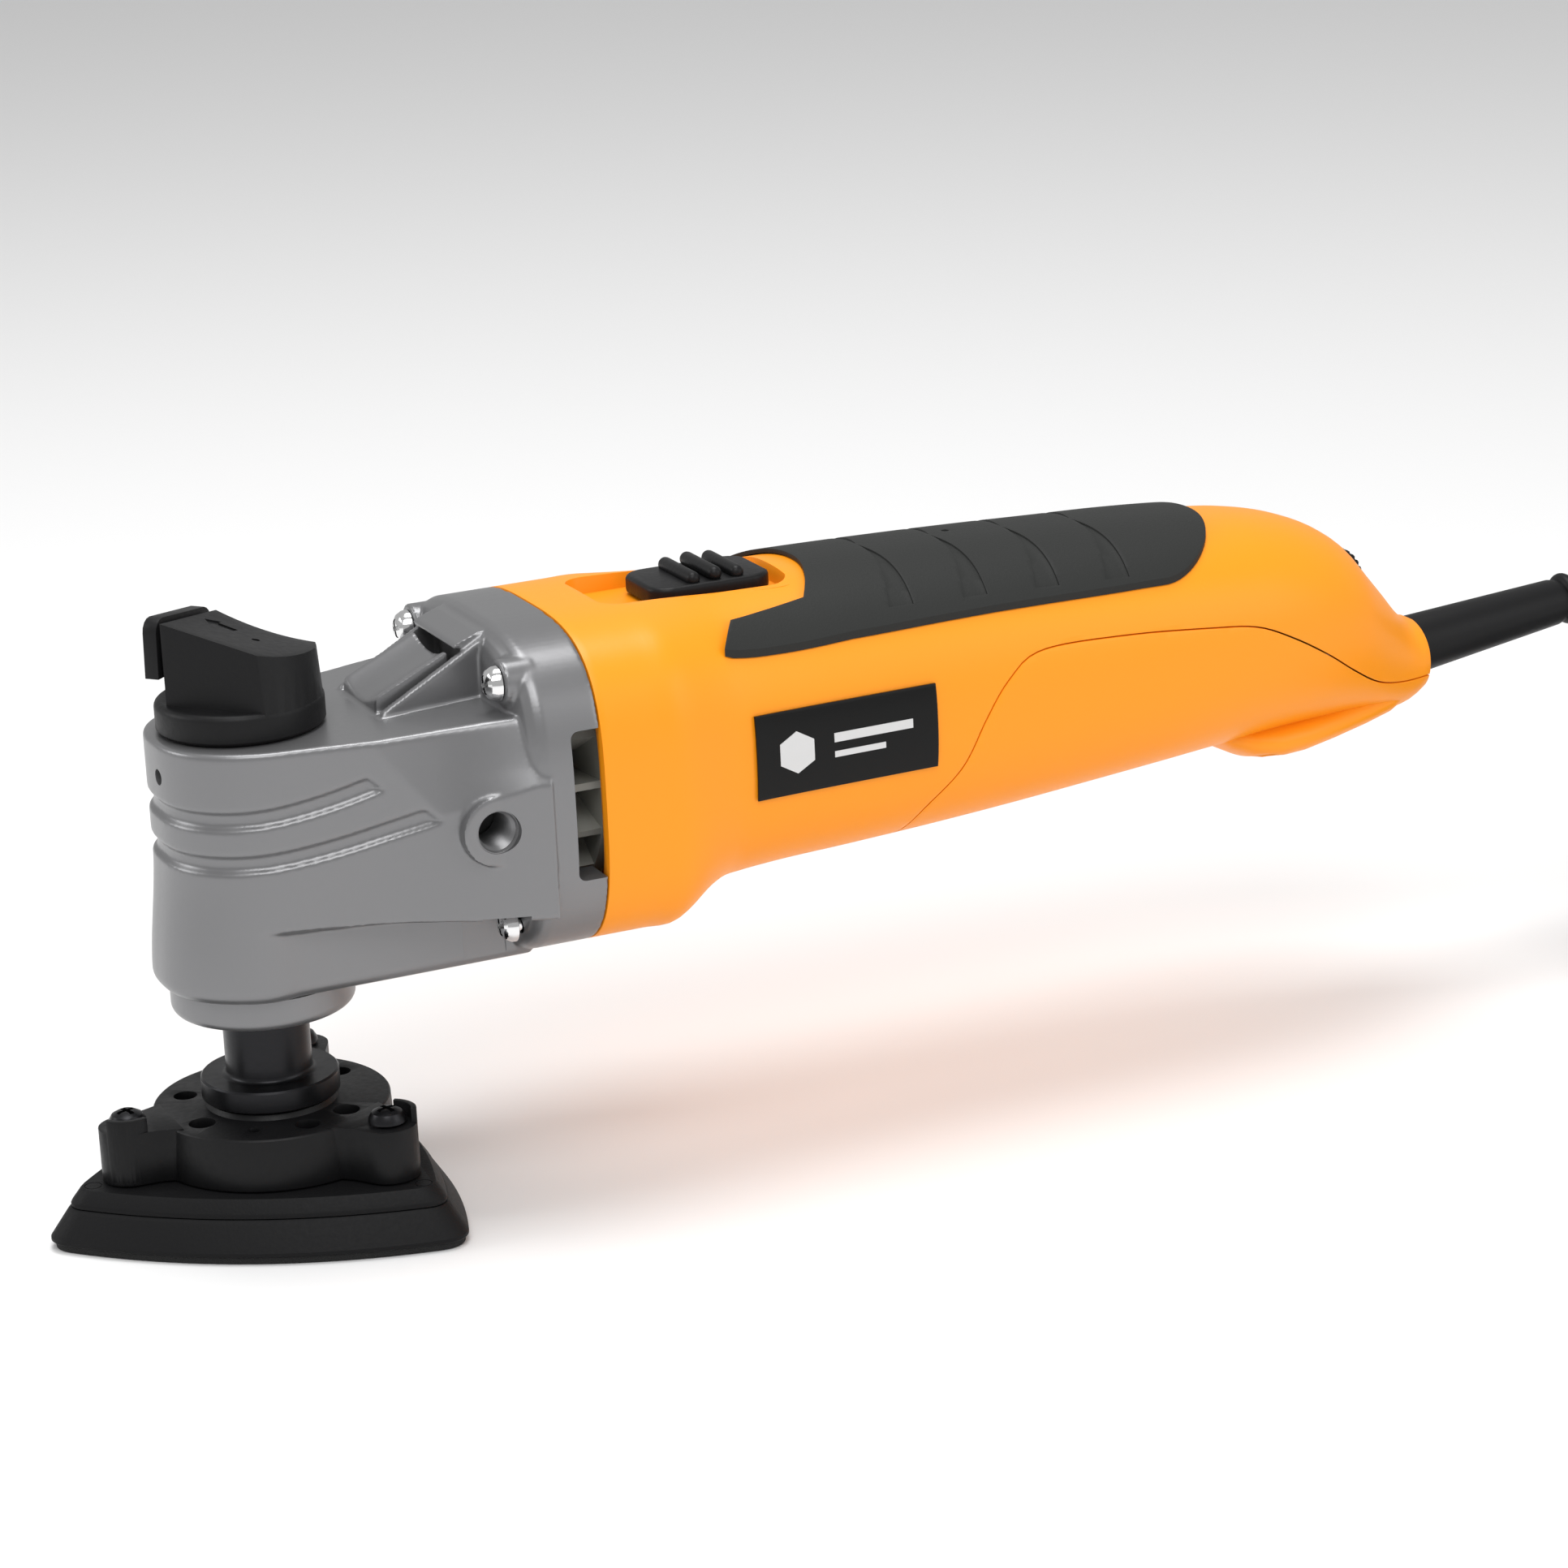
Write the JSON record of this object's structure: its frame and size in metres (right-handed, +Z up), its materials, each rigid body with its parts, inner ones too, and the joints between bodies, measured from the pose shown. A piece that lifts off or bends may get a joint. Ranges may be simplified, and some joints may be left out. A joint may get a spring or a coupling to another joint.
{
  "type": "oscillating multi tool",
  "caption": "Corded oscillating multi tool: grey gear head with a clamping knob, orange motor housing with a slide switch, and a delta sanding pad on an oscillating spindle.",
  "frame": {"origin": "spindle axis at the working face of the sanding pad", "axes": "+Z up along the spindle towards the knob, +X from the gear head to the cord, +Y to the tool's left when it is held"},
  "size_m": [0.484, 0.1166, 0.1183],
  "materials": {
    "grey_cast": "satin grey paint on die-cast metal",
    "orange_plastic": "fine satin texture",
    "black_plastic": "satin",
    "black_rubber": "matt soft overmould",
    "label_black": "glossy film",
    "bright_steel": "bright zinc",
    "black_steel": "black oxide",
    "copper": "enamelled copper winding",
    "lamination_steel": "varnished sheet steel",
    "carbon": "pressed carbon",
    "brass": "drawn brass",
    "white_nylon": "moulded nylon",
    "pad_rubber": "matt moulded foam rubber",
    "hook_fabric": "hook fastener tape",
    "circuit_board": "solder mask"
  },
  "bodies": {
    "root": {"gear_housing": "grey_cast", "bearing_retainer": "grey_cast", "spindle_lower_bearing": "bright_steel", "spindle_upper_bearing": "bright_steel", "front_motor_bearing": "bright_steel", "rear_motor_bearing": "bright_steel", "brush_holder_a": "brass", "brush_holder_b": "brass", "carbon_brush_a": "carbon", "carbon_brush_b": "carbon", "stator_core": "lamination_steel", "field_coil_lower": "copper", "field_coil_upper": "copper", "rear_bearing_bracket": "black_plastic", "motor_housing": "orange_plastic", "rear_lower_cover": "orange_plastic", "grip_overmould": "black_rubber", "label_plate": "label_black", "power_switch": "black_plastic", "speed_control_board": "circuit_board", "cord_clamp": "black_plastic", "strain_relief": "black_rubber", "cord_tube": "black_rubber", "cord_coil": "black_rubber", "cord_tail": "black_rubber", "plug_body": "black_rubber", "plug_pin_a": "bright_steel", "plug_pin_b": "bright_steel", "housing_screw_1": "bright_steel", "housing_screw_2": "bright_steel", "housing_screw_3": "bright_steel", "housing_screw_4": "bright_steel", "cover_screw_1": "black_steel", "cover_screw_2": "black_steel", "cover_screw_3": "black_steel"},
    "spindle": {"spindle": "black_steel", "drive_fork": "lamination_steel", "clamp_spring": "bright_steel", "pad_carrier": "black_plastic", "backing_plate": "black_plastic", "sanding_pad": "pad_rubber", "hook_layer": "hook_fabric", "pad_screw_1": "black_steel", "pad_screw_2": "black_steel", "pad_screw_3": "black_steel"},
    "clamp_rod": {"clamp_rod": "bright_steel", "rod_collar": "bright_steel"},
    "clamp_knob": {"clamp_knob": "black_plastic", "latch_pin": "bright_steel"},
    "knob_latch": {"knob_latch": "black_plastic"},
    "armature": {"motor_shaft": "bright_steel", "eccentric_pin": "bright_steel", "eccentric_bearing": "bright_steel", "armature_core": "lamination_steel", "commutator": "copper", "cooling_fan": "white_nylon"},
    "switch_slider": {"switch_slider": "black_plastic", "switch_link_rod": "black_plastic"},
    "speed_dial": {"speed_dial": "black_plastic", "dial_axle": "bright_steel"}
  },
  "joints": [
    {"name": "spindle_oscillation", "type": "hinge", "parent": "root", "child": "spindle", "pos_m": [0, 0, 0.05], "axis": [0, 0, 1], "range_deg": [-1.6, 1.6]},
    {"name": "knob_turn", "type": "hinge", "parent": "root", "child": "clamp_knob", "pos_m": [0, 0, 0.1], "axis": [0, 0, 1], "range_deg": [0, 90]},
    {"name": "clamp_rod_travel", "type": "slide", "parent": "spindle", "child": "clamp_rod", "axis": [0, 0, 1], "range_m": [-0.0015, 0], "deforming": ["clamp_spring"]},
    {"name": "latch_tilt", "type": "hinge", "parent": "clamp_knob", "child": "knob_latch", "pos_m": [-0.00394, 0.00453, 0.1085], "axis": [-0.7547, -0.6561, 0], "range_deg": [0, 15], "stiffness_Nm_per_rad": 0.05},
    {"name": "armature_spin", "type": "hinge", "parent": "root", "child": "armature", "pos_m": [0.09, 0, 0.0795], "axis": [1, 0, 0], "continuous": true},
    {"name": "switch_travel", "type": "slide", "parent": "root", "child": "switch_slider", "axis": [1, 0, 0], "range_m": [-0.0065, 0]},
    {"name": "dial_turn", "type": "hinge", "parent": "root", "child": "speed_dial", "pos_m": [0.2395, 0.008, 0.085], "axis": [0, 1, 0], "range_deg": [0, 280]}
  ],
  "couplings": [
    {"joint": "clamp_rod_travel", "follows": "knob_turn", "m_per_rad": -0.00095}
  ]
}
